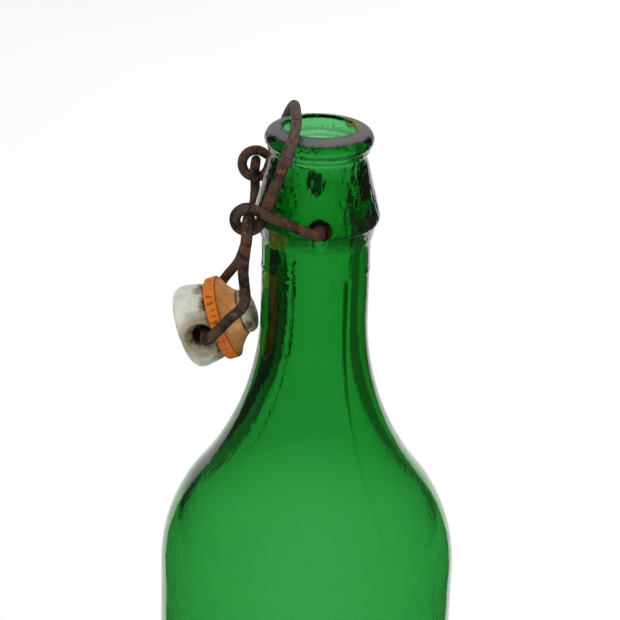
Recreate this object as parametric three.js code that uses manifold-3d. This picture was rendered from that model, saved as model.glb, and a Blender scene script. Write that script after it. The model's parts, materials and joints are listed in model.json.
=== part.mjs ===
// A swing top bottle: a glass bottle, a lever wire, a bail wire, a porcelain stopper and a rubber gasket.
// Millimetres, +Z up. The origin is the centre of the base, on the table.
// The wires pivot on axes along Y, and the open stopper hangs on the -X side.

import * as THREE from 'three';
import { mergeVertices } from 'three/addons/utils/BufferGeometryUtils.js';
import Module from 'manifold-3d';

const wasm = await Module();
wasm.setup();

// The glass bottle. Depths are measured down from the top of the lip.
const height = 284;
const bodyRadius = 40;
const bodyWall = 3.4;
const baseThickness = 5;
const heelRadius = 9;
const footInnerRadius = 24;
const puntHeight = 6;
const puntShape = [[0, 1], [0.5, 0.8], [0.85, 0.3]];
const neckRadius = 14.2;
const boreRadius = 9.4;
const neckEndDepth = 51;
const flareRadius = 74.5;
const shoulderRadius = 43;
const collarRadius = 16.4;
const collarDepth = 22.9;
const collarRound = 2.6;
const collarRoundDepth = 23.5;
const collarFootDepth = 29.2;
const grooveRadius = 12.4;
const grooveDepth = 7.1;
const lipRadius = 14.1;
const lipDepth = 2.9;
const beadRound = 2.6;
const crestRadius = 10.4;
const crestWidth = 0.4;
const mouthRound = 0.6;
const dimpleRadius = 2.8;
const dimpleBottom = 13;
const dimpleReach = 12;

// Both wires are the same steel wire. Wires and pieces that touch keep this gap.
const wireDiameter = 2.9;
const gap = 0.3;
const bendRadius = 2.8;

// The lever wire, measured from the pivot in the dimples. Use has left one arm a little lower than the other.
const nearEye = { x: -18, z: 4.3 };
const farEye = { x: -16, z: 6.2 };
const eyeRadius = 3.4;
const leverTop = { x: -6.4, z: 26.4 };
const handleCorner = 11;
const armSpread = 20.2;
const legSpread = 16.2;
const leverEndSpread = 13.9;
const leverSteps = 128;

// The bail wire, measured from the pivot. Its legs are bent in differently by years of use.
const crossHole = { x: -28.5, z: -31.8 };
const nearLegBends = [{ x: -19.1, z: -9.5 }, { x: -18.7, z: -20.8 }];
const farLegBends = [{ x: -16.1, z: -5 }, { x: -19.5, z: -18.5 }];
const bailHookSpread = armSpread + wireDiameter + gap;
const bailHookEnd = 14.2;
const bailFootSpread = 13.7;
const bailFootLength = 9;
const bailSteps = 104;

// The stopper. Distances run along its axis from the cross hole, towards the nose.
const stopperPitch = 21;
const stopperYaw = -6;
const headTop = -6.4;
const headRadius = 11;
const headCrown = 0.5;
const headCorner = 2.6;
const headShoulder = -2.4;
const seatDistance = 3.1;
const seatRadius = 9.8;
const postRadius = 4.6;
const noseStart = 10.7;
const noseRadius = 5.9;
const noseEnd = 13.4;
const noseRound = 2.2;
const crossHoleRadius = 2.6;
const recessRadius = 6.2;
const recessSpread = 10.2;
const recessDepth = 4;

// The gasket round the stopper's post.
const rimRadius = 11.1;
const rimThickness = 3.2;
const coneRadius = 6.2;
const rimEdge = 0.6;

// How many flats stand in for each round shape.
const bottleFlats = 40;
const stopperFlats = 28;
const gasketFlats = 36;
const holeFlats = 16;
const wireFlats = 8;

const pivotHeight = height - collarDepth;

// Points along an arc in the (radius, height) or (x, z) plane, both ends included, angles in degrees.
function arc(centreX, centreZ, radius, from, to, count, radiusZ = radius) {
  const points = [];
  for (let i = 0; i <= count; i += 1) {
    const angle = THREE.MathUtils.degToRad(from + ((to - from) * i) / count);
    points.push(new THREE.Vector2(centreX + radius * Math.cos(angle), centreZ + radiusZ * Math.sin(angle)));
  }
  return points;
}

// Two tangent arcs that lead from a neck out to a body, going down from the end of the neck.
function shoulder(neck, body, concave, convex, neckEnd) {
  const across = neck + concave - (body - convex);
  const drop = Math.sqrt((concave + convex) ** 2 - across ** 2);
  const slope = THREE.MathUtils.radToDeg(Math.atan2(drop, across));
  return [
    ...arc(neck + concave, neckEnd, concave, 180, 180 + slope, 7),
    ...arc(body - convex, neckEnd - drop, convex, slope, 0, 7).slice(1),
  ];
}

// The lip bead, its groove and the collar, from the neck upwards.
function finishOutline() {
  const collarSide = collarRadius - collarRound;
  const slope = THREE.MathUtils.radToDeg(
    Math.atan2(collarRadius - grooveRadius, collarDepth - grooveDepth),
  );
  const beadSide = lipRadius - beadRound;
  const crownSide = crestRadius + crestWidth / 2;
  return [
    new THREE.Vector2(neckRadius, height - collarFootDepth),
    ...arc(collarSide, height - collarRoundDepth, collarRound, -50, slope, 4),
    new THREE.Vector2(grooveRadius, height - grooveDepth),
    ...arc(beadSide, height - lipDepth, beadRound, -60, 0, 3),
    ...arc(crownSide, height - lipDepth, lipRadius - crownSide, 0, 90, 5, lipDepth).slice(1),
    ...arc(crestRadius, height - mouthRound, crestRadius - boreRadius, 90, 180, 2, mouthRound),
  ];
}

// The pushed-up middle of the base, from the axis outwards.
function punt(lift) {
  return puntShape.map(([out, up]) => new THREE.Vector2(footInnerRadius * out, lift + puntHeight * up));
}

// One closed outline: the underside, the outside upwards, over the lip and down the inside.
function bottleOutline() {
  const innerRadius = bodyRadius - bodyWall;
  const innerHeel = heelRadius - bodyWall / 2;
  const neckEnd = height - neckEndDepth;
  const outside = shoulder(neckRadius, bodyRadius, flareRadius, shoulderRadius, neckEnd);
  const inside = shoulder(boreRadius, innerRadius, flareRadius, shoulderRadius - bodyWall, neckEnd);
  const floorEdge = baseThickness + innerHeel;
  return [
    ...punt(0),
    new THREE.Vector2(footInnerRadius, 0),
    ...arc(bodyRadius - heelRadius, heelRadius, heelRadius, -90, 0, 5),
    ...outside.reverse(),
    ...finishOutline(),
    ...inside,
    ...arc(innerRadius - innerHeel, floorEdge, innerHeel, 0, -90, 4),
    ...punt(baseThickness).reverse(),
  ];
}

// Turns an outline of (radius, height) points about the Z axis.
function turned(outline, segments) {
  const geometry = new THREE.LatheGeometry(outline, segments);
  geometry.rotateX(Math.PI / 2);
  return geometry;
}

function toSolid(geometry) {
  const bare = geometry.clone();
  bare.deleteAttribute('normal');
  bare.deleteAttribute('uv');
  const merged = mergeVertices(bare, 1e-4);
  const corners = merged.index.array;
  const triangles = [];
  for (let i = 0; i < corners.length; i += 3) {
    const [a, b, c] = corners.slice(i, i + 3);
    if (a !== b && b !== c && c !== a) {
      triangles.push(a, b, c);
    }
  }
  return new wasm.Manifold(new wasm.Mesh({
    numProp: 3,
    vertProperties: merged.attributes.position.array,
    triVerts: Uint32Array.from(triangles),
  }));
}

function toGeometry(solid) {
  const mesh = solid.getMesh();
  const geometry = new THREE.BufferGeometry();
  geometry.setAttribute('position', new THREE.BufferAttribute(mesh.vertProperties, 3));
  geometry.setIndex(new THREE.BufferAttribute(mesh.triVerts, 1));
  geometry.computeVertexNormals();
  return geometry;
}

// The bottle with a round-bottomed dimple in each side of its collar.
function bottleGeometry() {
  let glass = toSolid(turned(bottleOutline(), bottleFlats));
  for (const side of [-1, 1]) {
    const cutter = new THREE.CapsuleGeometry(dimpleRadius, dimpleReach, 4, holeFlats);
    cutter.translate(0, side * (dimpleBottom + dimpleRadius + dimpleReach / 2), pivotHeight);
    glass = glass.subtract(toSolid(cutter));
  }
  return toGeometry(glass);
}

// A round bar swept smoothly through its points.
function wireGeometry(points, steps) {
  const circle = new THREE.EllipseCurve(0, 0, wireDiameter / 2, wireDiameter / 2);
  const section = circle.getPoints(wireFlats).slice(0, wireFlats);
  return new THREE.ExtrudeGeometry(new THREE.Shape(section), {
    steps,
    extrudePath: new THREE.CatmullRomCurve3(points),
  });
}

// A quarter bend between a straight stretch along Y and one that leaves along (x, z).
function bendFromY(corner, direction, count) {
  const points = [];
  for (let i = 0; i <= count; i += 1) {
    const angle = ((Math.PI / 2) * i) / count;
    const out = bendRadius * (1 - Math.cos(angle));
    const inwards = bendRadius * (1 - Math.sin(angle));
    points.push(new THREE.Vector3(
      corner.x + direction.x * out,
      corner.y - inwards,
      corner.z + direction.y * out,
    ));
  }
  return points;
}

// One side of the lever wire, from its end in the dimple round the eye and up to the top of the handle.
// Y is the distance out from the middle of the bottle.
function leverSide(eye) {
  const toEye = new THREE.Vector2(eye.x, eye.z);
  const reach = toEye.length();
  const arm = Math.atan2(eye.z, eye.x) - Math.asin(eyeRadius / reach);
  const armDirection = new THREE.Vector2(Math.cos(arm), Math.sin(arm));
  const pivot = { x: 0, y: armSpread, z: 0 };
  const points = [new THREE.Vector3(0, leverEndSpread, 0), ...bendFromY(pivot, armDirection, 3)];
  const armLength = Math.sqrt(reach ** 2 - eyeRadius ** 2);
  const middle = armDirection.clone().multiplyScalar(armLength * 0.6);
  points.push(new THREE.Vector3(middle.x, armSpread, middle.y));
  const legAngle = Math.atan2(leverTop.z - eye.z, leverTop.x - eye.x - eyeRadius);
  const legDirection = new THREE.Vector2(Math.cos(legAngle), Math.sin(legAngle));
  const eyeStart = THREE.MathUtils.radToDeg(arm) - 90;
  const eyeEnd = THREE.MathUtils.radToDeg(legAngle) + 270;
  const eyePoints = arc(eye.x, eye.z, eyeRadius, eyeStart, eyeEnd, 12);
  const innerSpread = armSpread - wireDiameter - gap;
  eyePoints.forEach((point, i) => {
    const y = THREE.MathUtils.lerp(armSpread, innerSpread, i / (eyePoints.length - 1));
    points.push(new THREE.Vector3(point.x, y, point.y));
  });
  const legEnd = eyePoints[eyePoints.length - 1];
  const handle = new THREE.Vector2(leverTop.x, leverTop.z).distanceTo(legEnd);
  const straight = handle - handleCorner;
  points.push(new THREE.Vector3(
    legEnd.x + (legDirection.x * straight) / 2,
    (innerSpread + legSpread) / 2,
    legEnd.y + (legDirection.y * straight) / 2,
  ));
  for (const corner of arc(legSpread - handleCorner, straight, handleCorner, 0, 90, 5)) {
    points.push(new THREE.Vector3(
      legEnd.x + legDirection.x * corner.y,
      corner.x,
      legEnd.y + legDirection.y * corner.y,
    ));
  }
  return points;
}

// A point on the line through the middles of the two eyes.
function onEyeAxis(y) {
  const eyeSpread = armSpread - (wireDiameter + gap) / 2;
  const share = (y + eyeSpread) / (2 * eyeSpread);
  return {
    x: THREE.MathUtils.lerp(nearEye.x, farEye.x, share),
    y,
    z: THREE.MathUtils.lerp(nearEye.z, farEye.z, share),
  };
}

// One side of the bail wire, from its hooked end in the eye down to the cross hole.
function bailSide(side, bends) {
  const [first, last] = bends;
  const hook = onEyeAxis(side * bailHookSpread);
  hook.y = bailHookSpread;
  const hookEnd = onEyeAxis(side * bailHookEnd);
  const legDirection = new THREE.Vector2(first.x - hook.x, first.z - hook.z).normalize();
  const points = [new THREE.Vector3(hookEnd.x, bailHookEnd, hookEnd.z), ...bendFromY(hook, legDirection, 3)];
  const share = (hook.z - first.z) / (hook.z - last.z);
  const firstSpread = THREE.MathUtils.lerp(bailHookSpread, bailFootSpread, share);
  points.push(new THREE.Vector3(first.x, firstSpread, first.z));
  points.push(new THREE.Vector3(last.x, bailFootSpread, last.z));
  const away = new THREE.Vector2(last.x - crossHole.x, last.z - crossHole.z).normalize();
  const footTop = away.clone().multiplyScalar(bailFootLength);
  points.push(new THREE.Vector3(crossHole.x + footTop.x, bailFootSpread, crossHole.z + footTop.y));
  const foot = { x: crossHole.x, y: bailFootSpread, z: crossHole.z };
  points.push(...bendFromY(foot, away, 3).reverse());
  points.push(new THREE.Vector3(crossHole.x, bailFootSpread / 3, crossHole.z));
  return points;
}

// Joins a near side, at -Y, to a far side, at +Y, through what lies between them.
function bothSides(near, far) {
  const nearSide = near.map((point) => new THREE.Vector3(point.x, -point.y, point.z));
  return [...nearSide, ...[...far].reverse()];
}

// The porcelain, turned about its own axis, which stands along +Z with the nose up.
function stopperGeometry() {
  const outline = [
    new THREE.Vector2(0, headTop),
    ...arc(headRadius - headCorner, headTop + headCorner + headCrown, headCorner, -80, 0, 3),
    new THREE.Vector2(headRadius, headShoulder),
    new THREE.Vector2(seatRadius, seatDistance),
    new THREE.Vector2(postRadius, seatDistance),
    new THREE.Vector2(postRadius, noseStart),
    new THREE.Vector2(noseRadius, noseStart),
    ...arc(noseRadius - noseRound, noseEnd - noseRound, noseRound, 0, 90, 3),
    new THREE.Vector2(0, noseEnd),
  ];
  let porcelain = toSolid(turned(outline, stopperFlats));
  const hole = new THREE.CylinderGeometry(crossHoleRadius, crossHoleRadius, headRadius * 3, holeFlats);
  porcelain = porcelain.subtract(toSolid(hole));
  for (const side of [-1, 1]) {
    const [above, below] = side > 0 ? [recessRadius, crossHoleRadius] : [crossHoleRadius, recessRadius];
    const recess = new THREE.CylinderGeometry(above, below, recessDepth, holeFlats);
    recess.translate(0, side * recessSpread, 0);
    porcelain = porcelain.subtract(toSolid(recess));
  }
  return toGeometry(porcelain);
}

// The gasket: a thick flat rim, then a cone that narrows towards the nose.
function gasketGeometry() {
  const back = seatDistance + gap;
  const front = back + rimThickness;
  const bore = postRadius + gap;
  const end = noseStart - gap;
  const outline = [
    new THREE.Vector2(bore, back),
    new THREE.Vector2(rimRadius - rimEdge, back),
    new THREE.Vector2(rimRadius, back + rimEdge),
    new THREE.Vector2(rimRadius, front - rimEdge),
    new THREE.Vector2(rimRadius - rimEdge, front),
    new THREE.Vector2(coneRadius, end),
    new THREE.Vector2(bore, end),
    new THREE.Vector2(bore, back),
  ];
  return turned(outline, gasketFlats);
}

function piece(name, geometry, color, roughness, metalness) {
  const mesh = new THREE.Mesh(geometry, new THREE.MeshStandardMaterial({ color, roughness, metalness }));
  mesh.name = name;
  return mesh;
}

const model = new THREE.Group();
model.add(piece('bottle', bottleGeometry(), 0x14781f, 0.12, 0));

const closure = new THREE.Group();
closure.position.z = pivotHeight;
const leverPoints = bothSides(leverSide(nearEye), leverSide(farEye));
closure.add(piece('lever_wire', wireGeometry(leverPoints, leverSteps), 0x4a2f26, 0.75, 0.5));
const bailPoints = bothSides(bailSide(-1, nearLegBends), bailSide(1, farLegBends));
closure.add(piece('bail_wire', wireGeometry(bailPoints, bailSteps), 0x4a2f26, 0.75, 0.5));

// The stopper's own +Z becomes its nose direction: mostly +X, pitched up and yawed a little towards -Y.
const hung = new THREE.Group();
hung.position.set(crossHole.x, 0, crossHole.z);
hung.rotation.order = 'ZYX';
hung.rotation.y = THREE.MathUtils.degToRad(90 - stopperPitch);
hung.rotation.z = THREE.MathUtils.degToRad(stopperYaw);
hung.add(piece('stopper', stopperGeometry(), 0xd9dcd2, 0.25, 0));
hung.add(piece('gasket', gasketGeometry(), 0xd9701f, 0.7, 0));
closure.add(hung);
model.add(closure);

export default model;
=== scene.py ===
import json
import math
import bpy
import bmesh
from mathutils import Matrix, Vector, noise


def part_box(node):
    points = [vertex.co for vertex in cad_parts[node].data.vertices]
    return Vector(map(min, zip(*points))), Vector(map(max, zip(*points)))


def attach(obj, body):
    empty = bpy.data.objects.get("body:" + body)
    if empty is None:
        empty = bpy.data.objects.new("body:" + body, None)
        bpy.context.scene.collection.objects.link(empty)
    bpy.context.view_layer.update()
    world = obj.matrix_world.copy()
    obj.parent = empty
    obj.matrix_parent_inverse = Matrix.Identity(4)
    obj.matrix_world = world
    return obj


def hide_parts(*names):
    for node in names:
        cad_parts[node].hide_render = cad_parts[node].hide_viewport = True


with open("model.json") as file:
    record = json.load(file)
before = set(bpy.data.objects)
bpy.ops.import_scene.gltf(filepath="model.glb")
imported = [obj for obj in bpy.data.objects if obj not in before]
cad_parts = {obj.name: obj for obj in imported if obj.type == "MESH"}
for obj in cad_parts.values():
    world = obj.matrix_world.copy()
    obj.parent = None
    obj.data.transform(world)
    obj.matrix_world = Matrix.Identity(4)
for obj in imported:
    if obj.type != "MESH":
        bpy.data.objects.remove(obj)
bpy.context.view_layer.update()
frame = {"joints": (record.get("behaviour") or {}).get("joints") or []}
mm = 0.001

# places that the frame gives: the two pivots, the cross hole and the bottle's size
leverJoint, bailJoint, stopperJoint = frame["joints"]
pivot = Vector(leverJoint["pos_m"])
eyeMiddle = Vector(bailJoint["pos_m"])
eyeAxis = Vector(bailJoint["axis"]).normalized()
crossHole = Vector(stopperJoint["pos_m"])
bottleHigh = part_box("bottle")[1]
top = bottleHigh.z
bodyRadius = bottleHigh.x
lipRise = top - pivot.z                          # from the wire's pivot up to the top of the glass


# camera, light and floor

camera = {
    "azimuth": -2.5, "elevation": 22.5, "roll": 1.716,   # degrees
    "distance": 0.6194, "lens": 136.6,
    "target": (-0.0011, 0.0, 0.2333),
}

studio = {
    "sky": (1.0, 1.0, 1.0), "skyStrength": 0.6,
    "floorColor": (0.93, 0.93, 0.92), "floorSize": 6.0,
    "cloudShade": 0.985, "cloudScale": 3, "floorRoughness": 0.75,
    "aim": 0.8,                                  # the lamps point at this share of the bottle's height
}

lamps = {   # soft lamps that the glass doesn't mirror; a sun's size is its angle in degrees
    "key": {"kind": "SUN", "place": (-0.55, -0.7, 1.15), "size": 24, "power": 1.5},
    "fill": {"kind": "AREA", "place": (1.2, -0.8, 0.6), "size": 0.9, "power": 3},
    "rim": {"kind": "AREA", "place": (0.9, 0.8, 0.7), "size": 0.6, "power": 5},
}

flags = {   # gray cards round the bottle, seen only in its reflections or through its glass
    "front": {"fromAngle": 42, "toAngle": 318, "bottom": 0.002, "top": 0.7, "gray": 0.06,
              "radius": 0.235, "apron": 0.05, "seen": "glossy"},
    "leftLow": {"fromAngle": -76, "toAngle": -19, "bottom": 0.135, "top": 0.18, "gray": 0.05,
                "radius": 0.22, "seen": "through"},
    "leftHigh": {"fromAngle": -76, "toAngle": -26, "bottom": 0.18, "top": 0.7, "gray": 0.4,
                 "radius": 0.22, "seen": "through"},
    "right": {"fromAngle": 38, "toAngle": 78, "bottom": 0.135, "top": 0.7, "gray": 0.4,
              "radius": 0.22, "seen": "through"},
}


def makeCamera():
    data = bpy.data.cameras.new("camera")
    data.lens = camera["lens"]
    data.sensor_width = 36
    data.clip_start = 0.01
    lens = bpy.data.objects.new("camera", data)
    bpy.context.scene.collection.objects.link(lens)
    azimuth = math.radians(camera["azimuth"])
    elevation = math.radians(camera["elevation"])
    away = Vector((math.sin(azimuth) * math.cos(elevation),
                   -math.cos(azimuth) * math.cos(elevation),
                   math.sin(elevation)))
    place = Vector(camera["target"]) + away * camera["distance"]
    turn = away.to_track_quat("Z", "Y").to_matrix().to_4x4()
    roll = Matrix.Rotation(math.radians(camera["roll"]), 4, "Z")
    lens.matrix_world = Matrix.Translation(place) @ turn @ roll
    bpy.context.scene.camera = lens


def makeWorld():
    world = bpy.data.worlds.new("studio")
    bpy.context.scene.world = world
    world.use_nodes = True
    background = world.node_tree.nodes["Background"]
    background.inputs["Color"].default_value = (*studio["sky"], 1)
    background.inputs["Strength"].default_value = studio["skyStrength"]


def makeLamps():
    for name, lamp in lamps.items():
        data = bpy.data.lights.new(name, lamp["kind"])
        data.energy = lamp["power"]
        if lamp["kind"] == "SUN":
            data.angle = math.radians(lamp["size"])
        else:
            data.size = lamp["size"]
        made = bpy.data.objects.new(name, data)
        bpy.context.scene.collection.objects.link(made)
        place = Vector(lamp["place"])
        back = place - Vector((0, 0, top * studio["aim"]))
        made.matrix_world = Matrix.Translation(place) @ back.to_track_quat("Z", "Y").to_matrix().to_4x4()
        made.visible_glossy = made.visible_transmission = False


def makeFlags():
    # each card is a part of a ring; its angles are degrees from +Y towards +X
    for name, flag in flags.items():
        middle = math.radians(flag["fromAngle"] + flag["toAngle"]) / 2
        half = math.radians(flag["toAngle"] - flag["fromAngle"]) / 2
        bm = bmesh.new()
        bmesh.ops.create_circle(bm, segments=180, radius=flag["radius"])
        for edge in list(bm.edges):
            x, y, z = (edge.verts[0].co + edge.verts[1].co) / 2
            turn = (math.atan2(x, y) - middle + math.pi) % math.tau - math.pi
            if abs(turn) > half:
                bm.edges.remove(edge)
        rim = list(bm.edges)
        if "apron" in flag:                      # the card also lies on the floor, in towards the bottle
            inner = extrudedVerts(bm, rim)
            share = flag["apron"] / flag["radius"]
            bmesh.ops.scale(bm, verts=inner, vec=(share, share, 1))
        raised = extrudedVerts(bm, rim)
        bmesh.ops.translate(bm, verts=bm.verts, vec=(0, 0, flag["bottom"]))
        bmesh.ops.translate(bm, verts=raised, vec=(0, 0, flag["top"] - flag["bottom"]))
        card = finishMesh(bm, name + "_card", [cardMaterial(name, flag["gray"])])
        card.visible_camera = card.visible_diffuse = card.visible_shadow = False
        card.visible_glossy = flag["seen"] == "glossy"
        card.visible_transmission = flag["seen"] == "through"


def extrudedVerts(bm, edges):
    made = bmesh.ops.extrude_edge_only(bm, edges=edges)["geom"]
    return [part for part in made if isinstance(part, bmesh.types.BMVert)]


def cardMaterial(name, gray):
    material = bpy.data.materials.new(name + "Card")
    material.use_nodes = True
    tree = material.node_tree
    glow = node(tree, "Emission", Color=(gray, gray, gray, 1))
    tree.nodes.remove(tree.nodes["Principled BSDF"])
    tree.links.new(glow.outputs[0], tree.nodes["Material Output"].inputs["Surface"])
    return material


def makeFloor():
    bm = bmesh.new()
    bmesh.ops.create_grid(bm, x_segments=1, y_segments=1, size=studio["floorSize"])
    floor = finishMesh(bm, "floor", [floorMaterial()])


def floorMaterial():
    material, tree, shader = newMaterial("paleFloor")
    cloud = noiseMask(tree, objectCoords(tree), studio["cloudScale"], 0.2, 0.8, detail=3)
    shade = [channel * studio["cloudShade"] for channel in studio["floorColor"]]
    color = mixColor(tree, cloud, studio["floorColor"], shade)
    tree.links.new(color, shader.inputs["Base Color"])
    shader.inputs["Roughness"].default_value = studio["floorRoughness"]
    return material


# helpers for meshes

def finishMesh(bm, name, materials):
    mesh = bpy.data.meshes.new(name)
    bm.to_mesh(mesh)
    bm.free()
    smoothFaces(mesh)
    for material in materials:
        mesh.materials.append(material)
    piece = bpy.data.objects.new(name, mesh)
    bpy.context.scene.collection.objects.link(piece)
    return piece


def smoothFaces(mesh):
    for face in mesh.polygons:
        face.use_smooth = True


def evaluatedMesh(piece):
    bpy.context.view_layer.update()
    graph = bpy.context.evaluated_depsgraph_get()
    return bpy.data.meshes.new_from_object(piece.evaluated_get(graph))


def applyModifiers(piece):
    mesh = evaluatedMesh(piece)
    piece.modifiers.clear()
    piece.data = mesh
    smoothFaces(mesh)


def roughen(piece, grains):
    # moves the surface in and out by noises, each a pair of (how fine, how deep in mm)
    bm = bmesh.new()
    bm.from_mesh(piece.data)
    bm.normal_update()
    for vert in bm.verts:
        push = sum(depth * noise.noise(vert.co * fine) for fine, depth in grains)
        vert.co += vert.normal * push * mm
    bm.to_mesh(piece.data)
    bm.free()


def arc(middleX, middleZ, radius, start, end, count, radiusZ=None):
    tall = radius if radiusZ is None else radiusZ
    points = []
    for i in range(count + 1):
        angle = math.radians(start + (end - start) * i / count)
        points.append((middleX + radius * math.cos(angle), middleZ + tall * math.sin(angle)))
    return points


def straight(start, end, count):
    # the points between two others, without either of them
    return [(start[0] + (end[0] - start[0]) * i / count, start[1] + (end[1] - start[1]) * i / count)
            for i in range(1, count)]


def spinOutline(outline, steps):
    # turns an outline of (radius, height) in mm about Z; it runs up the outside
    bm = bmesh.new()
    verts = [bm.verts.new((r * mm, 0, z * mm)) for r, z in outline]
    for first, second in zip(verts, verts[1:]):
        bm.edges.new((first, second))
    bmesh.ops.spin(bm, geom=list(bm.verts) + list(bm.edges), cent=(0, 0, 0), axis=(0, 0, 1),
                   angle=math.tau, steps=steps, use_merge=True)
    bmesh.ops.remove_doubles(bm, verts=bm.verts, dist=1e-6)
    bmesh.ops.recalc_face_normals(bm, faces=bm.faces)
    return bm


def densify(points, step):
    # a smooth path through the points, as evenly spaced points
    ends = [points[0] * 2 - points[1]] + list(points) + [points[-1] * 2 - points[-2]]
    path = [points[0]]
    for p0, p1, p2, p3 in zip(ends, ends[1:], ends[2:], ends[3:]):
        gap = (p2 - p1).length
        count = max(1, round(gap / step))
        tangent1 = (p2 - p0) * (gap / (gap + (p1 - p0).length))
        tangent2 = (p3 - p1) * (gap / (gap + (p3 - p2).length))
        for i in range(1, count + 1):
            t = i / count
            path.append(p1 * (2 * t**3 - 3 * t**2 + 1) + tangent1 * (t**3 - 2 * t**2 + t)
                        + p2 * (3 * t**2 - 2 * t**3) + tangent2 * (t**3 - t**2))
    return path


def smoothStep(low, high, value):
    t = min(1, max(0, (value - low) / (high - low)))
    return t * t * (3 - 2 * t)


# helpers for materials

def newMaterial(name):
    material = bpy.data.materials.new(name)
    material.use_nodes = True
    tree = material.node_tree
    return material, tree, tree.nodes["Principled BSDF"]


def node(tree, kind, **values):
    made = tree.nodes.new("ShaderNode" + kind)
    for key, value in values.items():
        if hasattr(made, key):
            setattr(made, key, value)
        else:
            made.inputs[key].default_value = value
    return made


def objectCoords(tree, centre=(0, 0, 0), scale=(1, 1, 1)):
    coords = node(tree, "TexCoord")
    mapping = node(tree, "Mapping", Scale=scale)
    mapping.inputs["Location"].default_value = [-c * s for c, s in zip(centre, scale)]
    tree.links.new(coords.outputs["Object"], mapping.inputs["Vector"])
    return mapping.outputs["Vector"]


def splitVector(tree, vector):
    split = node(tree, "SeparateXYZ")
    tree.links.new(vector, split.inputs[0])
    return split.outputs


def noiseValue(tree, vector, scale, detail=6, roughness=0.6, distortion=0.0):
    texture = node(tree, "TexNoise", Scale=scale, Detail=detail, Roughness=roughness, Distortion=distortion)
    tree.links.new(vector, texture.inputs["Vector"])
    return texture.outputs["Fac"]


def noiseMask(tree, vector, scale, low, high, **look):
    # a noise turned into a mask from 0 to 1 between two levels
    return rangeMask(tree, noiseValue(tree, vector, scale, **look), low, high)


def rangeMask(tree, value, low, high):
    spread = node(tree, "MapRange", interpolation_type="SMOOTHSTEP")
    spread.inputs["From Min"].default_value = low
    spread.inputs["From Max"].default_value = high
    tree.links.new(value, spread.inputs["Value"])
    return spread.outputs["Result"]


def mixColor(tree, factor, first, second, blend="MIX"):
    mix = node(tree, "Mix", data_type="RGBA", blend_type=blend)
    for socket, value in ((mix.inputs[0], factor), (mix.inputs[6], first), (mix.inputs[7], second)):
        if isinstance(value, bpy.types.NodeSocket):
            tree.links.new(value, socket)
        elif isinstance(value, (int, float)):
            socket.default_value = value
        else:
            socket.default_value = (*value, 1)
    return mix.outputs[2]


def mathNode(tree, operation, *values):
    made = node(tree, "Math", operation=operation)
    for socket, value in zip(made.inputs, values):
        if isinstance(value, bpy.types.NodeSocket):
            tree.links.new(value, socket)
        else:
            socket.default_value = value
    return made.outputs[0]


def times(tree, first, second):
    return mathNode(tree, "MULTIPLY", first, second)


def plus(tree, first, second):
    return mathNode(tree, "ADD", first, second)


def larger(tree, first, second):
    return mathNode(tree, "MAXIMUM", first, second)


def lengthOf(tree, first, second):
    return mathNode(tree, "SQRT", plus(tree, times(tree, first, first), times(tree, second, second)))


def jitter(tree, value, wander, reach):
    # adds some of a noise to a value, so that the edge of a mask made from it is ragged
    return plus(tree, value, times(tree, wander, reach))


def addBump(tree, shader, height, strength, depth):
    bump = node(tree, "Bump", Strength=strength, Distance=depth * mm)
    tree.links.new(height, bump.inputs["Height"])
    tree.links.new(bump.outputs["Normal"], shader.inputs["Normal"])


# the bottle; sizes in mm

bottle = {
    "wall": 3.4, "floor": 5, "heel": 9, "footInner": 24, "footFlat": 1.5, "punt": 6,
    "puntShape": ((0, 1), (0.3, 0.95), (0.6, 0.7), (0.85, 0.28)),     # shares of the foot's radius and height
    "neck": 14.2, "bore": 9.4, "neckEnd": 51, "flare": 74.5, "shoulder": 43,
    "collar": 16.4, "collarRound": 2.6, "collarDrop": 0.6, "collarUnder": -48,
    "collarFoot": 29.2, "hollowDrop": 1.6, "hollow": ((0.05, 0.7), (0.25, 1.4), (0.6, 2.1)),
    "groove": 12.4, "grooveDepth": 7.1, "grooveRound": 1.6,
    "lip": 14.1, "lipDepth": 2.9, "beadRound": 2.6, "crest": 10.4, "crestFlat": 0.2, "mouthRound": 0.6,
    "steps": 240,
}

relief = {   # what stands out of the glass or is pressed into it
    "dimple": 2.9, "dimpleDepth": 3.3, "dimpleEdge": (0.62, 1.12),    # the edge in shares of the radius
    "seamAngle": 33, "seamHeight": 0.5, "seamWidth": 0.62, "seamFade": (95, 130),
    "ringDepth": 37.6, "ringHeight": 0.22, "ringWidth": 0.32,
    "outsideFrom": 1.6,                          # the neck's glass this far out from the bore is its outside
    "waves": 90, "waveHeight": 0.05,
    "drawn": (650, 650, 240), "drawnNeck": 0.008, "drawnCollar": 0.05, "collarStart": (-12, -6),
}


def shoulderOutline(neck, body, concave, convex, neckEnd, count):
    across = neck + concave - (body - convex)
    drop = math.sqrt((concave + convex) ** 2 - across ** 2)
    slope = math.degrees(math.atan2(drop, across))
    return (arc(neck + concave, neckEnd, concave, 180, 180 + slope, count)
            + arc(body - convex, neckEnd - drop, convex, slope, 0, count)[1:])


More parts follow.
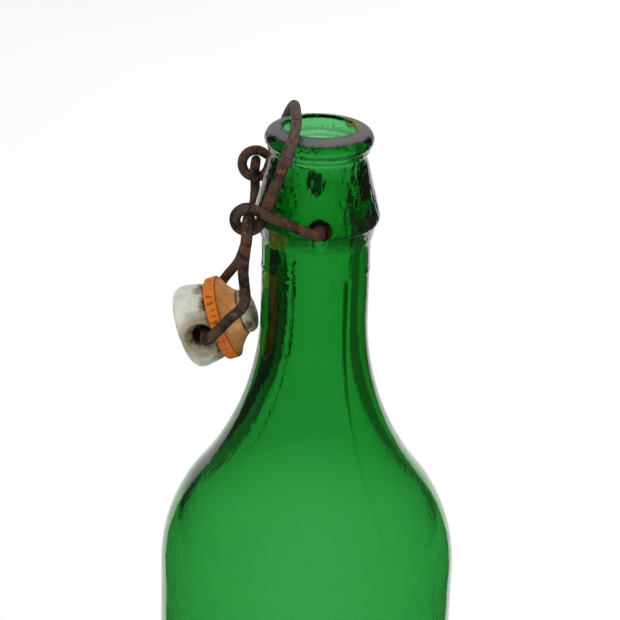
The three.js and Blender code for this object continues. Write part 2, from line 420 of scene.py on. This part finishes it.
def bottleOutline():
    b = bottle
    height, body, collarAt = top / mm, bodyRadius / mm, pivot.z / mm
    neckEnd = height - b["neckEnd"]
    slope = math.degrees(math.atan2(b["collar"] - b["groove"], height - b["grooveDepth"] - collarAt))
    inner = body - b["wall"]
    innerHeel = b["heel"] - b["wall"] / 2
    outside = shoulderOutline(b["neck"], body, b["flare"], b["shoulder"], neckEnd, 22)[::-1]
    inside = shoulderOutline(b["bore"], inner, b["flare"], b["shoulder"] - b["wall"], neckEnd, 16)
    collar = arc(b["collar"] - b["collarRound"], collarAt - b["collarDrop"], b["collarRound"],
                 b["collarUnder"], slope, 8)
    foot = (b["neck"], height - b["collarFoot"] - b["hollowDrop"])
    hollow = [(b["neck"] + out, foot[1] + rise) for out, rise in b["hollow"]]
    groove = arc(b["groove"] + b["grooveRound"], height - b["grooveDepth"], b["grooveRound"],
                 180 + slope, 120, 5)
    bead = arc(b["lip"] - b["beadRound"], height - b["lipDepth"], b["beadRound"], -52, 0, 6)
    crownSide = b["crest"] + b["crestFlat"]
    crown = arc(crownSide, height - b["lipDepth"], b["lip"] - crownSide, 0, 90, 10, b["lipDepth"])
    mouth = arc(b["crest"], height - b["mouthRound"], b["crest"] - b["bore"], 90, 180, 4)
    heel = arc(body - b["heel"], b["heel"], b["heel"], -90, 0, 10)
    outline = [(b["footInner"] * out, b["punt"] * rise) for out, rise in b["puntShape"]]
    outline += [(b["footInner"], 0.25), (b["footInner"] + b["footFlat"], 0)]
    outline += heel + straight(heel[-1], outside[0], 12) + outside
    outline += straight(outside[-1], foot, 40) + [foot] + hollow + collar
    outline += straight(collar[-1], groove[0], 28) + groove + bead + crown[1:] + mouth[1:]
    outline += straight(mouth[-1], inside[0], 12) + inside
    outline += straight(inside[-1], (inner, b["floor"] + innerHeel), 6)
    outline += arc(inner - innerHeel, b["floor"] + innerHeel, innerHeel, 0, -90, 8)
    outline += [(b["footInner"] * 0.6, b["floor"] + b["punt"] * 0.7), (0, b["floor"] + b["punt"])]
    return outline


def shapeGlass(bm):
    # presses the dimples, raises the mould seams and the ring, and leaves the surface a little uneven
    r = relief
    neckEnd = top - bottle["neckEnd"] * mm
    low, high = (edge * mm for edge in r["collarStart"])
    for vert in bm.verts:
        x, y, z = vert.co
        radius = math.hypot(x, y)
        onNeck = radius > (bottle["bore"] + r["outsideFrom"]) * mm and z > neckEnd
        if onNeck or (z <= neckEnd and vert.normal.dot(Vector((x, y, 0))) > 0):
            onCollar = smoothStep(low, high, z - pivot.z)
            drawn = noise.noise(Vector([c * fine for c, fine in zip((x, y, z), r["drawn"])]))
            push = (reliefHeight(math.atan2(x, -y), radius, z)
                    + r["waveHeight"] * mm * noise.noise(vert.co * r["waves"])
                    + (r["drawnNeck"] + r["drawnCollar"] * onCollar) * mm * drawn)
            scale = 1 + push / radius if radius > 0 else 1
            vert.co.x *= scale
            vert.co.y *= scale
        away = math.hypot(x, z - pivot.z) / (r["dimple"] * mm)
        if onNeck and away < r["dimpleEdge"][1]:
            deep = 1 - smoothStep(*r["dimpleEdge"], away)
            vert.co.y -= math.copysign(deep * r["dimpleDepth"] * mm, y)


def reliefHeight(angle, radius, z):
    # how far the ring round the neck and the two mould seams stand out
    r = relief
    below = (top - z) / mm
    height = r["ringHeight"] * math.exp(-((below - r["ringDepth"]) / r["ringWidth"]) ** 2)
    if below > r["ringDepth"]:
        fade = 1 - smoothStep(*r["seamFade"], below)
        for side in (0, 180):
            turn = (angle - math.radians(r["seamAngle"] + side) + math.pi) % math.tau - math.pi
            height += r["seamHeight"] * fade * math.exp(-(turn * radius / mm / r["seamWidth"]) ** 2)
    return height * mm


def makeBottle():
    bm = spinOutline(bottleOutline(), bottle["steps"])
    bm.normal_update()
    shapeGlass(bm)
    piece = finishMesh(bm, "green_bottle", [glassMaterial()])
    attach(piece, "bottle")
    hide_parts("bottle")


glass = {
    "absorb": (0.04, 0.70, 0.23), "density": 480, "ior": 1.5,
    "coverFade": 0.06, "coverRoughness": 0.55,   # a cover's colour is full where this much of it shows
    "grain": 620, "grainLong": 0.4, "grainStart": (-12, -4), "grainNeck": 0.15,
    "grainBump": 0.5, "grainDepth": 0.5,
}

# What lies on the glass, and dark reflections painted onto it. Pairs run from where a cover starts to where
# it is full, in mm: heights are above the wire's pivot, depths below the top of the glass, and "crest" is out
# from the crest of the mouth.
covers = {
    "scuff": {                                   # worn bead round the mouth, and chips on the collar
        "color": (0.15, 0.138, 0.155), "most": 0.88, "depth": (1.4, 0.6), "crest": (-0.3, 0.5), "ragged": 1.6,
        "specks": 1500, "speckled": 0.35, "chips": 1100, "chipHeight": (-1, 20), "chipMost": 0.45,
    },
    "stain": {                                   # brown deposit at the mouth's inner edge
        "color": (0.3, 0.2, 0.06), "most": 0.7, "depth": (2.2, 0.6), "crest": (0.25, -0.1),
        "side": (6.5, 8.5), "fine": 600,
    },
    "paintedReflection": {                                  # painted dark reflection: a dark line down the seam, and a dark patch at an angle in degrees
        "color": (0.012, 0.02, 0.01), "most": 0.85, "outside": (11.8, 12.2), "fine": 700,
        "seam": (0.045, 0.015), "seamRagged": 0.11, "low": (-6, -2), "high": (13, 6),
        "patchAngle": 50, "patchSquat": 70, "patch": (0.26, 0.1), "patchRagged": 0.5,
    },
    "rust": {                                    # what the wire has left in the dimples
        "color": (0.045, 0.017, 0.007), "most": 0.97, "edge": (0.25, -0.25), "ragged": 2.2,
        "outside": (10.5, 11), "lessBehind": 0.2,
    },
}


def edgeMask(tree, value, edge, offset=0.0):
    # a mask that starts at the first and is full at the second of a pair in mm, both from the offset in m
    return rangeMask(tree, value, offset + edge[0] * mm, offset + edge[1] * mm)


def depthMask(tree, height, depth):
    return rangeMask(tree, height, lipRise - depth[0] * mm, lipRise - depth[1] * mm)


def glassPlace(tree):
    # what the covers are placed by; the origin moves up to the wire's pivot
    vector = objectCoords(tree, centre=pivot)
    x, y, z = splitVector(tree, vector)
    wander = mathNode(tree, "SUBTRACT", noiseValue(tree, vector, 420, detail=8, roughness=0.7), 0.5)
    return {"vector": vector, "x": x, "y": y, "z": z, "radius": lengthOf(tree, x, y), "wander": wander}


def scuffMask(tree, at):
    c = covers["scuff"]
    bead = times(tree, depthMask(tree, jitter(tree, at["z"], at["wander"], c["ragged"] * mm), c["depth"]),
                 edgeMask(tree, at["radius"], c["crest"], bottle["crest"] * mm))
    specks = noiseMask(tree, at["vector"], c["specks"], 0.36, 0.6, detail=5)
    bead = times(tree, bead, mathNode(tree, "MULTIPLY_ADD", specks, c["speckled"], 1 - c["speckled"]))
    drawn = objectCoords(tree, scale=(1, 1, 0.3))
    chips = times(tree, edgeMask(tree, at["z"], c["chipHeight"]),
                  noiseMask(tree, drawn, c["chips"], 0.66, 0.72, detail=4))
    return larger(tree, bead, times(tree, chips, c["chipMost"]))


def stainMask(tree, at):
    c = covers["stain"]
    innerEdge = times(tree, depthMask(tree, at["z"], c["depth"]),
                      edgeMask(tree, at["radius"], c["crest"], bottle["crest"] * mm))
    stain = times(tree, innerEdge, noiseMask(tree, at["vector"], c["fine"], 0.42, 0.6))
    return times(tree, stain, edgeMask(tree, at["x"], c["side"]))


# painted dark reflection on the collar: a near-black, shiny line down the mould seam and a patch near it,
# where the glass shows dark surroundings
def paintedReflectionMask(tree, at):
    c = covers["paintedReflection"]
    angle = mathNode(tree, "ARCTAN2", at["x"], times(tree, at["y"], -1.0))
    offSeam = mathNode(tree, "ABSOLUTE", mathNode(tree, "SUBTRACT", angle, math.radians(relief["seamAngle"])))
    offSeam = jitter(tree, offSeam, at["wander"], c["seamRagged"])
    band = times(tree, edgeMask(tree, at["z"], c["low"]), edgeMask(tree, at["z"], c["high"]))
    onSeam = times(tree, rangeMask(tree, offSeam, *c["seam"]), band)
    offPatch = mathNode(tree, "SUBTRACT", angle, math.radians(c["patchAngle"]))
    patch = lengthOf(tree, offPatch, times(tree, at["z"], c["patchSquat"]))
    patch = rangeMask(tree, jitter(tree, patch, at["wander"], c["patchRagged"]), *c["patch"])
    paintedReflection = times(tree, larger(tree, onSeam, patch), edgeMask(tree, at["radius"], c["outside"]))
    return times(tree, paintedReflection, noiseMask(tree, at["vector"], c["fine"], 0.4, 0.55))


def rustMask(tree, at):
    c = covers["rust"]
    away = jitter(tree, lengthOf(tree, at["x"], at["z"]), at["wander"], c["ragged"] * mm)
    dimple = times(tree, edgeMask(tree, away, c["edge"], relief["dimple"] * mm),
                   edgeMask(tree, at["radius"], c["outside"]))
    behind = times(tree, edgeMask(tree, at["y"], (0, 1)), c["lessBehind"])
    return times(tree, dimple, mathNode(tree, "SUBTRACT", 1.0, behind))


def glassMaterial():
    material, tree, shader = newMaterial("greenGlass")
    at = glassPlace(tree)
    masks = {"scuff": scuffMask(tree, at), "stain": stainMask(tree, at),
             "paintedReflection": paintedReflectionMask(tree, at), "rust": rustMask(tree, at)}
    color = (1, 1, 1)
    covered = 0.0
    for kind, mask in masks.items():
        color = mixColor(tree, rangeMask(tree, mask, 0.0, glass["coverFade"]), color, covers[kind]["color"])
        covered = larger(tree, covered, times(tree, mask, covers[kind]["most"]))
    tree.links.new(color, shader.inputs["Base Color"])
    tree.links.new(mathNode(tree, "SUBTRACT", 1.0, covered), shader.inputs["Transmission Weight"])
    dull = larger(tree, larger(tree, masks["scuff"], masks["stain"]), masks["rust"])
    tree.links.new(times(tree, dull, glass["coverRoughness"]), shader.inputs["Roughness"])
    shader.inputs["IOR"].default_value = glass["ior"]
    grain = noiseValue(tree, objectCoords(tree, scale=(1, 1, glass["grainLong"])), glass["grain"],
                       detail=1.5, roughness=0.5, distortion=0.5)
    onCollar = mathNode(tree, "MULTIPLY_ADD", edgeMask(tree, at["z"], glass["grainStart"]),
                        1 - glass["grainNeck"], glass["grainNeck"])
    addBump(tree, shader, times(tree, grain, onCollar), glass["grainBump"], glass["grainDepth"])
    volume = node(tree, "VolumeAbsorption", Color=(*glass["absorb"], 1), Density=glass["density"])
    tree.links.new(volume.outputs[0], tree.nodes["Material Output"].inputs["Volume"])
    return material


# the two wires; sizes in mm from the pivot

wire = {
    "radius": 1.45, "bend": 2.8, "bendSteps": 4, "gap": 0.3, "sides": 5, "step": 0.4,
    "farThin": 0.1, "farEdge": (4, 12),          # the far side is this much thinner, from this far out
    "worn": 0.99, "uneven": 0.05, "unevenScale": 240, "pits": ((900, 0.045), (2600, 0.03)),
}

lever = {"eye": 3.4, "eyeSteps": 14, "top": (-6.4, 26.4), "corner": 11, "cornerSteps": 7,
         "legSpread": 16.2, "end": 13.9, "armMiddle": 0.6}

bail = {
    "nearBends": [(-19.1, -9.5), (-18.7, -20.8)], "farBends": [(-16.1, -5), (-19.5, -18.5)],
    "hookEnd": 14.2, "footSpread": 13.7, "bendSpread": 13.9, "footLength": 9,
}

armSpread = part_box("lever_wire")[1].y / mm - wire["radius"]
innerSpread = armSpread - 2 * wire["radius"] - wire["gap"]
hookSpread = armSpread + 2 * wire["radius"] + wire["gap"]


def onEyeAxis(y):
    # a point on the line through both eyes
    place = (eyeMiddle - pivot + eyeAxis * (y * mm / eyeAxis.y)) / mm
    return Vector((place.x, y, place.z))


def bendFromY(x, y, z, direction, side):
    # a quarter bend from a straight stretch along Y to one that leaves along the direction in XZ
    points = []
    for i in range(wire["bendSteps"] + 1):
        angle = math.pi / 2 * i / wire["bendSteps"]
        out = wire["bend"] * (1 - math.cos(angle))
        inwards = wire["bend"] * (1 - math.sin(angle))
        points.append(Vector((x + direction.x * out, side * (y - inwards), z + direction.y * out)))
    return points


def leverSide(side):
    eye = onEyeAxis(side * (armSpread + innerSpread) / 2)
    reach = Vector((eye.x, eye.z)).length
    arm = math.atan2(eye.z, eye.x) - math.asin(lever["eye"] / reach)
    armDirection = Vector((math.cos(arm), math.sin(arm)))
    points = [Vector((0, side * lever["end"], 0))] + bendFromY(0, armSpread, 0, armDirection, side)
    armLength = math.sqrt(reach ** 2 - lever["eye"] ** 2)
    middle = armDirection * armLength * lever["armMiddle"]
    points.append(Vector((middle.x, side * armSpread, middle.y)))
    leg = math.atan2(lever["top"][1] - eye.z, lever["top"][0] - eye.x - lever["eye"])
    legDirection = Vector((math.cos(leg), math.sin(leg)))
    start, end = math.degrees(arm) - 90, math.degrees(leg) + 270
    turn = arc(eye.x, eye.z, lever["eye"], start, end, lever["eyeSteps"])
    for i, (x, z) in enumerate(turn):
        spread = armSpread + (innerSpread - armSpread) * i / lever["eyeSteps"]
        points.append(Vector((x, side * spread, z)))
    legEnd = Vector(turn[-1])
    upright = (Vector(lever["top"]) - legEnd).length - lever["corner"]
    half = legEnd + legDirection * upright / 2
    points.append(Vector((half.x, side * (innerSpread + lever["legSpread"]) / 2, half.y)))
    inside = lever["legSpread"] - lever["corner"]
    for y, along in arc(inside, upright, lever["corner"], 0, 90, lever["cornerSteps"]):
        place = legEnd + legDirection * along
        points.append(Vector((place.x, side * y, place.y)))
    return points


def bailSide(side, bends):
    first, last = (Vector(bend) for bend in bends)
    hook = onEyeAxis(side * hookSpread)
    hole = Vector(((crossHole - pivot).x / mm, (crossHole - pivot).z / mm))
    direction = (first - Vector((hook.x, hook.z))).normalized()
    points = [onEyeAxis(side * bail["hookEnd"])] + bendFromY(hook.x, hookSpread, hook.z, direction, side)
    share = (hook.z - first.y) / (hook.z - last.y)
    spread = hookSpread + (bail["footSpread"] - hookSpread) * share
    points.append(Vector((first.x, side * spread, first.y)))
    points.append(Vector((last.x, side * bail["bendSpread"], last.y)))
    away = (last - hole).normalized()
    near = hole + away * bail["footLength"]
    points.append(Vector((near.x, side * bail["footSpread"], near.y)))
    points += bendFromY(hole.x, bail["footSpread"], hole.y, away, side)[::-1]
    points.append(Vector((hole.x, side * bail["footSpread"] / 3, hole.y)))
    return points


def bothSides(near, far):
    return near + far[::-1]


def makeWire(name, cadNode, body, points):
    path = densify([pivot + point * mm for point in points], wire["step"] * mm)
    curve = bpy.data.curves.new(name, "CURVE")
    curve.dimensions = "3D"
    curve.twist_mode = "MINIMUM"
    curve.bevel_depth = wire["radius"] * mm
    curve.bevel_resolution = wire["sides"]
    curve.use_fill_caps = True
    spline = curve.splines.new("POLY")
    spline.points.add(len(path) - 1)
    farStart, farEnd = (edge * mm for edge in wire["farEdge"])
    for made, point in zip(spline.points, path):
        made.co = (*point, 1)
        thin = 1 - wire["farThin"] * smoothStep(farStart, farEnd, point.y)
        made.radius = thin * (wire["worn"] + wire["uneven"] * noise.noise(point * wire["unevenScale"]))
    bar = bpy.data.objects.new(name + "_path", curve)
    bpy.context.scene.collection.objects.link(bar)
    mesh = evaluatedMesh(bar)
    bpy.data.objects.remove(bar)
    bm = bmesh.new()
    bm.from_mesh(mesh)
    bmesh.ops.remove_doubles(bm, verts=bm.verts, dist=1e-6)
    bmesh.ops.recalc_face_normals(bm, faces=bm.faces)
    piece = finishMesh(bm, name, [rustMaterial()])
    roughen(piece, wire["pits"])
    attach(piece, body)
    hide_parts(cadNode)


rust = {
    "dark": (0.018, 0.011, 0.008), "brown": (0.075, 0.043, 0.028), "red": (0.13, 0.042, 0.022),
    "orange": (0.24, 0.095, 0.028), "worn": (0.17, 0.13, 0.115),
    "handled": (16, 25), "handledMost": 0.55,    # worn by the thumb, from and to this far above the pivot
    "specular": 0.25, "bump": 0.8, "bumpDepth": 0.4,
}


def rustMaterial():
    if "rustyWire" in bpy.data.materials:
        return bpy.data.materials["rustyWire"]
    material, tree, shader = newMaterial("rustyWire")
    vector = objectCoords(tree)
    fine = noiseValue(tree, vector, 1800, detail=8, roughness=0.75)
    color = mixColor(tree, noiseMask(tree, vector, 300, 0.36, 0.62), rust["dark"], rust["brown"])
    color = mixColor(tree, noiseMask(tree, vector, 130, 0.52, 0.66, distortion=0.6), color, rust["red"])
    color = mixColor(tree, noiseMask(tree, vector, 420, 0.6, 0.74), color, rust["orange"])
    color = mixColor(tree, noiseMask(tree, vector, 1300, 0.56, 0.74), color, rust["worn"])
    height = splitVector(tree, vector)["Z"]
    handled = times(tree, edgeMask(tree, height, rust["handled"], pivot.z),
                    noiseMask(tree, vector, 800, 0.3, 0.6))
    color = mixColor(tree, times(tree, handled, rust["handledMost"]), color, rust["worn"])
    grain = mathNode(tree, "MULTIPLY_ADD", fine, 0.9, 0.55)
    gray = node(tree, "CombineColor")
    for channel in gray.inputs:
        tree.links.new(grain, channel)
    color = mixColor(tree, 1.0, color, gray.outputs[0], "MULTIPLY")
    tree.links.new(color, shader.inputs["Base Color"])
    tree.links.new(mathNode(tree, "MULTIPLY_ADD", fine, 0.3, 0.6), shader.inputs["Roughness"])
    shader.inputs["Specular IOR Level"].default_value = rust["specular"]
    addBump(tree, shader, fine, rust["bump"], rust["bumpDepth"])
    return material


# the stopper and its gasket; sizes in mm along and round the stopper's own axis, from the cross hole

stopper = {
    "pitch": 21, "yaw": -6,                      # degrees: nose up, and a little towards the near side
    "headTop": -6.4, "head": 11, "corner": 2.6, "shoulder": -2.4, "seat": 3.1, "seatRadius": 9.8,
    "post": 4.6, "noseStart": 10.7, "nose": 5.9, "noseEnd": 13.4, "noseRound": 2.2,
    "crown": ((0, 0), (0.4, 0.05), (0.66, 0.35)), "crownRise": 0.5,   # shares of the head, and depths
    "hole": 2.6, "recess": 5.6, "recessDepth": 4.4, "recessOut": 0.93,
    "steps": 96, "voxel": 0.22, "soften": 6, "unevenness": ((260, 0.08),),
}

gasket = {
    "rim": 11.1, "rimThickness": 3.2, "rimEdge": 0.5, "frontEdge": 0.6,
    "cone": 6.2, "coneTop": 0.8, "coneEdge": 0.3, "coneSteps": 11, "coneHollow": 1.35,
    "ribs": 34, "ribDepth": 0.34, "grain": 0.1, "crease": 0.14, "steps": 368,
}


def hung():
    # the stopper's own axis, with the nose along +Z, to where it hangs
    yaw = Matrix.Rotation(math.radians(stopper["yaw"]), 4, "Z")
    pitch = Matrix.Rotation(math.radians(90 - stopper["pitch"]), 4, "Y")
    return Matrix.Translation(crossHole) @ (yaw @ pitch)


def cutter(radiusLow, radiusHigh, depth, y):
    bm = bmesh.new()
    place = Matrix.Translation((0, y * mm, 0)) @ Matrix.Rotation(math.radians(-90), 4, "X")
    bmesh.ops.create_cone(bm, cap_ends=True, segments=48, radius1=radiusLow * mm, radius2=radiusHigh * mm,
                          depth=depth * mm, matrix=place)
    return finishMesh(bm, "cutter", [])


def stopperOutline():
    s = stopper
    outline = [(s["head"] * out, s["headTop"] + fall) for out, fall in s["crown"]]
    cornerAt = s["headTop"] + s["corner"] + s["crownRise"]
    outline += arc(s["head"] - s["corner"], cornerAt, s["corner"], -75, 0, 6)
    outline += [(s["head"], s["shoulder"])]
    outline += [(s["seatRadius"] + 0.2, s["seat"] - 0.5), (s["seatRadius"] - 0.5, s["seat"])]
    outline += [(s["post"] + 0.4, s["seat"]), (s["post"], s["seat"] + 0.4), (s["post"], s["noseStart"])]
    outline += [(s["nose"] - 0.3, s["noseStart"]), (s["nose"], s["noseStart"] + 0.3)]
    outline += arc(s["nose"] - s["noseRound"], s["noseEnd"] - s["noseRound"], s["noseRound"], 0, 90, 6)
    return outline + [(0, s["noseEnd"])]


def makeStopper():
    s = stopper
    piece = finishMesh(spinOutline(stopperOutline(), s["steps"]), "porcelain_stopper", [porcelainMaterial()])
    recessAt = s["head"] * s["recessOut"]
    cutters = [cutter(s["hole"], s["hole"], s["head"] * 3, 0),
               cutter(s["recess"], s["hole"], s["recessDepth"], -recessAt),
               cutter(s["hole"], s["recess"], s["recessDepth"], recessAt)]
    for tool in cutters:
        cut = piece.modifiers.new("hole", "BOOLEAN")
        cut.operation = "DIFFERENCE"
        cut.solver = "EXACT"
        cut.object = tool
    remesh = piece.modifiers.new("glaze", "REMESH")
    remesh.mode = "VOXEL"
    remesh.voxel_size = s["voxel"] * mm
    soften = piece.modifiers.new("soften", "SMOOTH")
    soften.factor = 0.5
    soften.iterations = s["soften"]
    applyModifiers(piece)
    for tool in cutters:
        bpy.data.objects.remove(tool)
    roughen(piece, s["unevenness"])
    piece.data.transform(hung())
    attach(piece, "stopper")
    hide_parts("stopper")


porcelain = {
    "glaze": (0.6, 0.61, 0.54), "film": (0.36, 0.39, 0.27), "stain": (0.26, 0.2, 0.12),
    # the darkest colour is both the grime and the painted shade inside the cross hole
    "grimeAndHoleShade": (0.03, 0.02, 0.01),
    # painted shade in the cross hole: black from and to this far from the hole's axis, in mm
    "hole": (3.8, 2.4), "roundHole": (7.8, 4.6), "roundHoleMost": 0.85,
    "seat": (-0.2, 2.4), "seatMost": 0.95,       # how dirty beside the gasket and on the nose, 0 to 1
    "nose": (6, 7.5), "noseMost": 0.85, "ragged": 6,
    "bump": 0.2, "bumpDepth": 0.3,
}


def hungCoords(tree):
    # coordinates on the stopper's own axis: Z runs from the head to the nose
    coords = node(tree, "TexCoord")
    mapping = node(tree, "Mapping", vector_type="TEXTURE")
    mapping.inputs["Location"].default_value = crossHole
    mapping.inputs["Rotation"].default_value = hung().to_euler()
    tree.links.new(coords.outputs["Object"], mapping.inputs["Vector"])
    return mapping.outputs["Vector"]


def porcelainMaterial():
    material, tree, shader = newMaterial("grimyPorcelain")
    p = porcelain
    vector = hungCoords(tree)
    x, y, z = splitVector(tree, vector)
    ragged = noiseValue(tree, vector, 330, detail=8, roughness=0.72)
    wander = mathNode(tree, "SUBTRACT", ragged, 0.5)
    reach = jitter(tree, lengthOf(tree, x, z), wander, p["ragged"] * mm)     # from the cross hole's axis
    # painted shade: the cross hole's bore and the middle of its recess darken to black
    holeShade = edgeMask(tree, reach, p["hole"])
    roundHole = times(tree, edgeMask(tree, reach, p["roundHole"]), p["roundHoleMost"])
    patches = noiseMask(tree, vector, 240, 0.42, 0.62, distortion=0.9)
    along = jitter(tree, z, wander, p["ragged"] * mm)
    seat = times(tree, edgeMask(tree, along, p["seat"]), p["seatMost"])
    seat = times(tree, seat, mathNode(tree, "MULTIPLY_ADD", patches, 0.7, 0.3))
    nose = times(tree, edgeMask(tree, z, p["nose"]), p["noseMost"])
    dirt = times(tree, larger(tree, seat, times(tree, nose, patches)),
                 noiseMask(tree, vector, 520, 0.44, 0.6))
    film = times(tree, noiseMask(tree, vector, 420, 0.4, 0.7), 0.5)
    spots = times(tree, noiseMask(tree, vector, 170, 0.5, 0.68), 0.45)
    # black is the painted shade in the cross hole together with the grime beside the gasket and on the nose
    black = larger(tree, holeShade, dirt)
    color = mixColor(tree, film, p["glaze"], p["film"])
    color = mixColor(tree, spots, color, p["stain"])
    color = mixColor(tree, times(tree, nose, 0.8), color, p["film"])
    color = mixColor(tree, larger(tree, roundHole, seat), color, p["stain"])
    color = mixColor(tree, black, color, p["grimeAndHoleShade"])
    tree.links.new(color, shader.inputs["Base Color"])
    tree.links.new(mathNode(tree, "MULTIPLY_ADD", black, 0.4, 0.3), shader.inputs["Roughness"])
    addBump(tree, shader, ragged, p["bump"], p["bumpDepth"])
    return material


def gasketOutline(back, front):
    g, s = gasket, stopper
    end = s["noseStart"] - wire["gap"]
    bore = s["post"] + wire["gap"]
    outline = [(bore, back), (g["rim"] * 0.75, back), (g["rim"] - g["rimEdge"], back + 0.05)]
    outline += arc(g["rim"] - g["rimEdge"], back + g["rimEdge"], g["rimEdge"], -70, 0, 3)
    outline += straight((g["rim"], back + g["rimEdge"]), (g["rim"], front - g["frontEdge"]), 9)
    outline += arc(g["rim"] - g["frontEdge"], front - g["frontEdge"], g["frontEdge"], 0, 60, 3)
    for i in range(1, g["coneSteps"]):           # the cone falls away in a hollow curve
        along = i / g["coneSteps"]
        radius = g["cone"] + (g["rim"] - g["coneTop"] - g["cone"]) * (1 - along) ** g["coneHollow"]
        outline.append((radius, front + (end - 0.2 - front) * along))
    outline += [(g["cone"], end - g["coneEdge"]), (g["cone"] - g["coneEdge"], end)]
    return outline + [(bore, end), (bore, (back + end) / 2), (bore, back)]


def makeGasket():
    back = stopper["seat"] + wire["gap"]
    front = back + gasket["rimThickness"]
    bm = spinOutline(gasketOutline(back, front), gasket["steps"])
    for vert in bm.verts:
        ribGasket(vert, back, front)
    piece = finishMesh(bm, "orange_gasket", [rubberMaterial()])
    piece.data.transform(hung())
    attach(piece, "stopper")
    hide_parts("gasket")


def ribGasket(vert, back, front):
    # uneven ribs on the rim's edge, and creases down the cone
    g = gasket
    x, y, z = vert.co
    radius = math.hypot(x, y)
    angle = math.atan2(y, x)
    around = Vector((math.cos(angle), math.sin(angle), 0))
    push = 0.0
    if radius > (g["rim"] - 0.75) * mm:
        across = (z / mm - back) / g["rimThickness"]
        slant = 3.0 * noise.noise(around * 2.3) + 1.2 * noise.noise(around * 9 + Vector((0, 0, across)))
        rib = math.sin(angle * g["ribs"] + slant)
        window = smoothStep(0.1, 0.24, across) * (1 - smoothStep(0.7, 0.86, across))
        broken = smoothStep(-0.25, 0.1, noise.noise(around * 13 + Vector((0, 0, across * 2.2))))
        push = g["grain"] * noise.noise(vert.co * 700)
        push -= g["ribDepth"] * window * broken * smoothStep(-0.1, 0.75, rib)
    elif z / mm > front and radius > (stopper["post"] + 0.6) * mm:
        push = g["crease"] * noise.noise(around * 5 + Vector((0, 0, z * 90)))
    scale = 1 + push * mm / radius
    vert.co.x *= scale
    vert.co.y *= scale


rubber = {
    "rim": (0.62, 0.155, 0.008), "cone": (0.56, 0.24, 0.07), "groove": (0.22, 0.04, 0.006),
    "dirt": (0.14, 0.06, 0.02), "pale": (0.75, 0.45, 0.2),
    "coneStart": (0.4, 1.8), "ragged": 1.2,      # where the rim's colour turns into the cone's
    "inRib": (-0.75, -0.5), "offEdge": (-0.1, -0.32), "ribDirt": 0.8,        # from the rim's radius
    "roughness": 0.62, "bump": 0.5, "bumpDepth": 0.4,
}


def rubberMaterial():
    material, tree, shader = newMaterial("orangeRubber")
    vector = hungCoords(tree)
    x, y, z = splitVector(tree, vector)
    ragged = noiseValue(tree, vector, 500, detail=7, roughness=0.7)
    front = (stopper["seat"] + gasket["rimThickness"]) * mm
    onCone = edgeMask(tree, jitter(tree, z, ragged, rubber["ragged"] * mm), rubber["coneStart"], front)
    color = mixColor(tree, onCone, rubber["rim"], rubber["cone"])
    streaks = noiseMask(tree, stretched(tree, vector, 0.25), 420, 0.48, 0.7)
    color = mixColor(tree, times(tree, times(tree, streaks, onCone), 0.7), color, rubber["pale"])
    dirt = times(tree, noiseMask(tree, vector, 260, 0.52, 0.7), 0.35)
    color = mixColor(tree, dirt, color, rubber["dirt"])
    radius = lengthOf(tree, x, y)
    inRib = times(tree, edgeMask(tree, radius, rubber["inRib"], gasket["rim"] * mm),
                  edgeMask(tree, radius, rubber["offEdge"], gasket["rim"] * mm))
    color = mixColor(tree, times(tree, inRib, rubber["ribDirt"]), color, rubber["groove"])
    tree.links.new(color, shader.inputs["Base Color"])
    shader.inputs["Roughness"].default_value = rubber["roughness"]
    addBump(tree, shader, ragged, rubber["bump"], rubber["bumpDepth"])
    return material


def stretched(tree, vector, along):
    mapping = node(tree, "Mapping", Scale=(1, 1, along))
    tree.links.new(vector, mapping.inputs["Vector"])
    return mapping.outputs["Vector"]


# the build

bpy.context.scene.view_settings.view_transform = "Standard"
makeCamera()
makeWorld()
makeLamps()
makeFlags()
makeFloor()
print("studio ready")
makeBottle()
print("bottle ready")
makeWire("lever", "lever_wire", "lever", bothSides(leverSide(-1), leverSide(1)))
makeWire("bail", "bail_wire", "bail",
         bothSides(bailSide(-1, bail["nearBends"]), bailSide(1, bail["farBends"])))
print("wires ready")
makeStopper()
makeGasket()
print("stopper and gasket ready")
